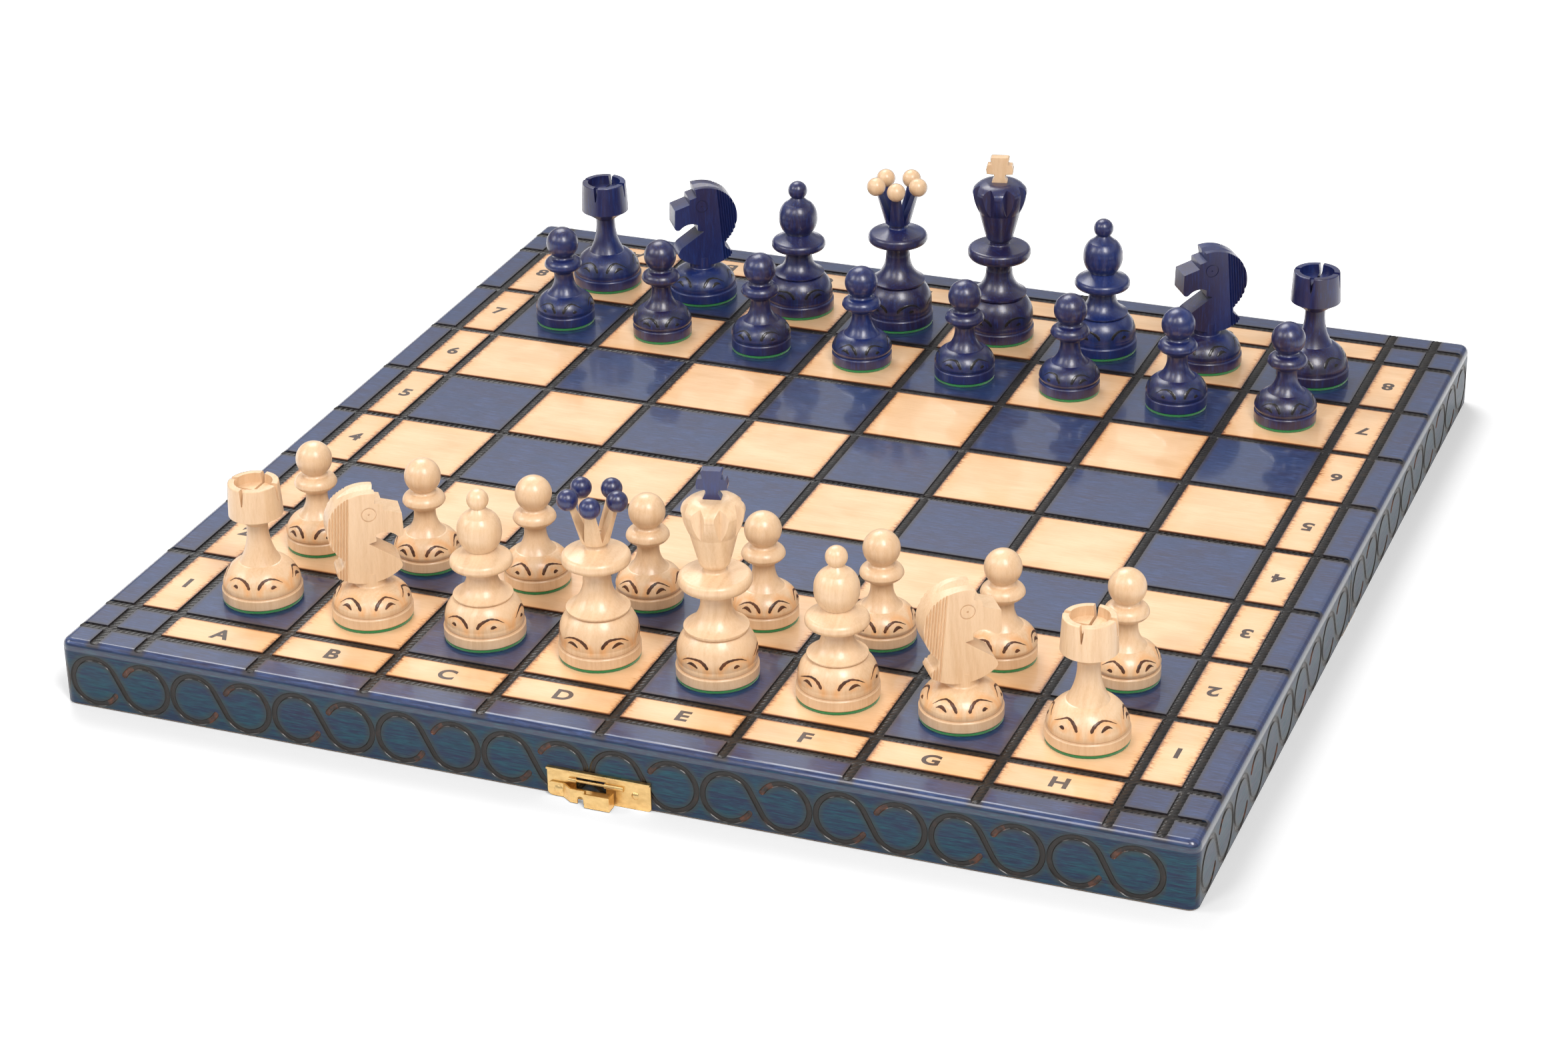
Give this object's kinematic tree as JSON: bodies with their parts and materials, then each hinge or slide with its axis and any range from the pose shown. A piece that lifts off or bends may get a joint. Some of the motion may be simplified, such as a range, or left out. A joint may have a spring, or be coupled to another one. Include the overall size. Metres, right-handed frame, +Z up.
{
  "type": "folding chess set",
  "caption": "Folding wooden chess board that closes into a storage box with a clasp, and a full set of turned and sawn wooden pieces with felt feet.",
  "frame": {"origin": "middle of the board's seam at the level of the lowest point of the hinge knuckles, which is the bottom centre of the bounding box; the rims of the two halves lie 1.15 mm higher", "axes": "+Z up out of the playing surface, +X from file a to file h along the seam, +Y from rank 1 (clasp side) to rank 8"},
  "size_m": [0.343, 0.3526, 0.0872],
  "materials": {
    "pale_wood": "clear gloss varnish",
    "blue_stained_wood": "dark blue stain under gloss varnish",
    "burned_plywood": "natural and blue stained squares with burned lines, varnished",
    "stained_wall_wood": "blue-green stain with burned ornament, varnished",
    "brass_sheet": "polished lacquered",
    "hinge_brass": "satin"
  },
  "bodies": {
    "front_half": {"front_hinge_leaves": "hinge_brass", "front_hinge_nails": "hinge_brass", "front_left_wall": "stained_wall_wood", "front_outer_wall": "stained_wall_wood", "front_playing_panel": "burned_plywood", "front_right_wall": "stained_wall_wood", "front_seam_wall": "stained_wall_wood", "hinge_pins": "hinge_brass", "latch_axle": "brass_sheet", "latch_nail": "brass_sheet", "latch_plate": "brass_sheet", "latch_rivet": "brass_sheet"},
    "back_half": {"back_hinge_leaves": "hinge_brass", "back_hinge_nails": "hinge_brass", "back_left_wall": "stained_wall_wood", "back_outer_wall": "stained_wall_wood", "back_playing_panel": "burned_plywood", "back_right_wall": "stained_wall_wood", "back_seam_wall": "stained_wall_wood", "keeper_nails": "brass_sheet", "keeper_plate": "brass_sheet", "keeper_stud": "brass_sheet"},
    "latch_lever": {"latch_lever": "brass_sheet"},
    "white_king": {"white_king": "pale_wood", "white_king_cross": "blue_stained_wood"},
    "white_queen": {"white_queen": "pale_wood", "white_queen_pearls": "blue_stained_wood"},
    "white_rook_a": {"white_rook_a": "pale_wood"},
    "white_rook_h": {"white_rook_h": "pale_wood"},
    "white_knight_b": {"white_knight_b": "pale_wood"},
    "white_knight_g": {"white_knight_g": "pale_wood"},
    "white_bishop_c": {"white_bishop_c": "pale_wood"},
    "white_bishop_f": {"white_bishop_f": "pale_wood"},
    "white_pawn_a": {"white_pawn_a": "pale_wood"},
    "white_pawn_b": {"white_pawn_b": "pale_wood"},
    "white_pawn_c": {"white_pawn_c": "pale_wood"},
    "white_pawn_d": {"white_pawn_d": "pale_wood"},
    "white_pawn_e": {"white_pawn_e": "pale_wood"},
    "white_pawn_f": {"white_pawn_f": "pale_wood"},
    "white_pawn_g": {"white_pawn_g": "pale_wood"},
    "white_pawn_h": {"white_pawn_h": "pale_wood"},
    "blue_king": {"blue_king": "blue_stained_wood", "blue_king_cross": "pale_wood"},
    "blue_queen": {"blue_queen": "blue_stained_wood", "blue_queen_pearls": "pale_wood"},
    "blue_rook_a": {"blue_rook_a": "blue_stained_wood"},
    "blue_rook_h": {"blue_rook_h": "blue_stained_wood"},
    "blue_knight_b": {"blue_knight_b": "blue_stained_wood"},
    "blue_knight_g": {"blue_knight_g": "blue_stained_wood"},
    "blue_bishop_c": {"blue_bishop_c": "blue_stained_wood"},
    "blue_bishop_f": {"blue_bishop_f": "blue_stained_wood"},
    "blue_pawn_a": {"blue_pawn_a": "blue_stained_wood"},
    "blue_pawn_b": {"blue_pawn_b": "blue_stained_wood"},
    "blue_pawn_c": {"blue_pawn_c": "blue_stained_wood"},
    "blue_pawn_d": {"blue_pawn_d": "blue_stained_wood"},
    "blue_pawn_e": {"blue_pawn_e": "blue_stained_wood"},
    "blue_pawn_f": {"blue_pawn_f": "blue_stained_wood"},
    "blue_pawn_g": {"blue_pawn_g": "blue_stained_wood"},
    "blue_pawn_h": {"blue_pawn_h": "blue_stained_wood"}
  },
  "joints": [
    {"name": "board_fold", "type": "hinge", "parent": "front_half", "child": "back_half", "pos_m": [0, 0, 0.001], "axis": [-1, 0, 0], "range_deg": [0, 180]},
    {"name": "latch_swing", "type": "hinge", "parent": "front_half", "child": "latch_lever", "pos_m": [-0.0121, -0.1715, 0.00355], "axis": [0, 1, 0], "range_deg": [0, 34.43]},
    {"name": "white_king_lift", "type": "slide", "parent": "front_half", "child": "white_king", "axis": [0, 0, 1], "range_m": [0, 0.09]},
    {"name": "white_queen_lift", "type": "slide", "parent": "front_half", "child": "white_queen", "axis": [0, 0, 1], "range_m": [0, 0.09]},
    {"name": "white_rook_a_lift", "type": "slide", "parent": "front_half", "child": "white_rook_a", "axis": [0, 0, 1], "range_m": [0, 0.09]},
    {"name": "white_rook_h_lift", "type": "slide", "parent": "front_half", "child": "white_rook_h", "axis": [0, 0, 1], "range_m": [0, 0.09]},
    {"name": "white_knight_b_lift", "type": "slide", "parent": "front_half", "child": "white_knight_b", "axis": [0, 0, 1], "range_m": [0, 0.09]},
    {"name": "white_knight_g_lift", "type": "slide", "parent": "front_half", "child": "white_knight_g", "axis": [0, 0, 1], "range_m": [0, 0.09]},
    {"name": "white_bishop_c_lift", "type": "slide", "parent": "front_half", "child": "white_bishop_c", "axis": [0, 0, 1], "range_m": [0, 0.09]},
    {"name": "white_bishop_f_lift", "type": "slide", "parent": "front_half", "child": "white_bishop_f", "axis": [0, 0, 1], "range_m": [0, 0.09]},
    {"name": "white_pawn_a_lift", "type": "slide", "parent": "front_half", "child": "white_pawn_a", "axis": [0, 0, 1], "range_m": [0, 0.09]},
    {"name": "white_pawn_b_lift", "type": "slide", "parent": "front_half", "child": "white_pawn_b", "axis": [0, 0, 1], "range_m": [0, 0.09]},
    {"name": "white_pawn_c_lift", "type": "slide", "parent": "front_half", "child": "white_pawn_c", "axis": [0, 0, 1], "range_m": [0, 0.09]},
    {"name": "white_pawn_d_lift", "type": "slide", "parent": "front_half", "child": "white_pawn_d", "axis": [0, 0, 1], "range_m": [0, 0.09]},
    {"name": "white_pawn_e_lift", "type": "slide", "parent": "front_half", "child": "white_pawn_e", "axis": [0, 0, 1], "range_m": [0, 0.09]},
    {"name": "white_pawn_f_lift", "type": "slide", "parent": "front_half", "child": "white_pawn_f", "axis": [0, 0, 1], "range_m": [0, 0.09]},
    {"name": "white_pawn_g_lift", "type": "slide", "parent": "front_half", "child": "white_pawn_g", "axis": [0, 0, 1], "range_m": [0, 0.09]},
    {"name": "white_pawn_h_lift", "type": "slide", "parent": "front_half", "child": "white_pawn_h", "axis": [0, 0, 1], "range_m": [0, 0.09]},
    {"name": "blue_king_lift", "type": "slide", "parent": "back_half", "child": "blue_king", "axis": [0, 0, 1], "range_m": [0, 0.09]},
    {"name": "blue_queen_lift", "type": "slide", "parent": "back_half", "child": "blue_queen", "axis": [0, 0, 1], "range_m": [0, 0.09]},
    {"name": "blue_rook_a_lift", "type": "slide", "parent": "back_half", "child": "blue_rook_a", "axis": [0, 0, 1], "range_m": [0, 0.09]},
    {"name": "blue_rook_h_lift", "type": "slide", "parent": "back_half", "child": "blue_rook_h", "axis": [0, 0, 1], "range_m": [0, 0.09]},
    {"name": "blue_knight_b_lift", "type": "slide", "parent": "back_half", "child": "blue_knight_b", "axis": [0, 0, 1], "range_m": [0, 0.09]},
    {"name": "blue_knight_g_lift", "type": "slide", "parent": "back_half", "child": "blue_knight_g", "axis": [0, 0, 1], "range_m": [0, 0.09]},
    {"name": "blue_bishop_c_lift", "type": "slide", "parent": "back_half", "child": "blue_bishop_c", "axis": [0, 0, 1], "range_m": [0, 0.09]},
    {"name": "blue_bishop_f_lift", "type": "slide", "parent": "back_half", "child": "blue_bishop_f", "axis": [0, 0, 1], "range_m": [0, 0.09]},
    {"name": "blue_pawn_a_lift", "type": "slide", "parent": "back_half", "child": "blue_pawn_a", "axis": [0, 0, 1], "range_m": [0, 0.09]},
    {"name": "blue_pawn_b_lift", "type": "slide", "parent": "back_half", "child": "blue_pawn_b", "axis": [0, 0, 1], "range_m": [0, 0.09]},
    {"name": "blue_pawn_c_lift", "type": "slide", "parent": "back_half", "child": "blue_pawn_c", "axis": [0, 0, 1], "range_m": [0, 0.09]},
    {"name": "blue_pawn_d_lift", "type": "slide", "parent": "back_half", "child": "blue_pawn_d", "axis": [0, 0, 1], "range_m": [0, 0.09]},
    {"name": "blue_pawn_e_lift", "type": "slide", "parent": "back_half", "child": "blue_pawn_e", "axis": [0, 0, 1], "range_m": [0, 0.09]},
    {"name": "blue_pawn_f_lift", "type": "slide", "parent": "back_half", "child": "blue_pawn_f", "axis": [0, 0, 1], "range_m": [0, 0.09]},
    {"name": "blue_pawn_g_lift", "type": "slide", "parent": "back_half", "child": "blue_pawn_g", "axis": [0, 0, 1], "range_m": [0, 0.09]},
    {"name": "blue_pawn_h_lift", "type": "slide", "parent": "back_half", "child": "blue_pawn_h", "axis": [0, 0, 1], "range_m": [0, 0.09]}
  ]
}
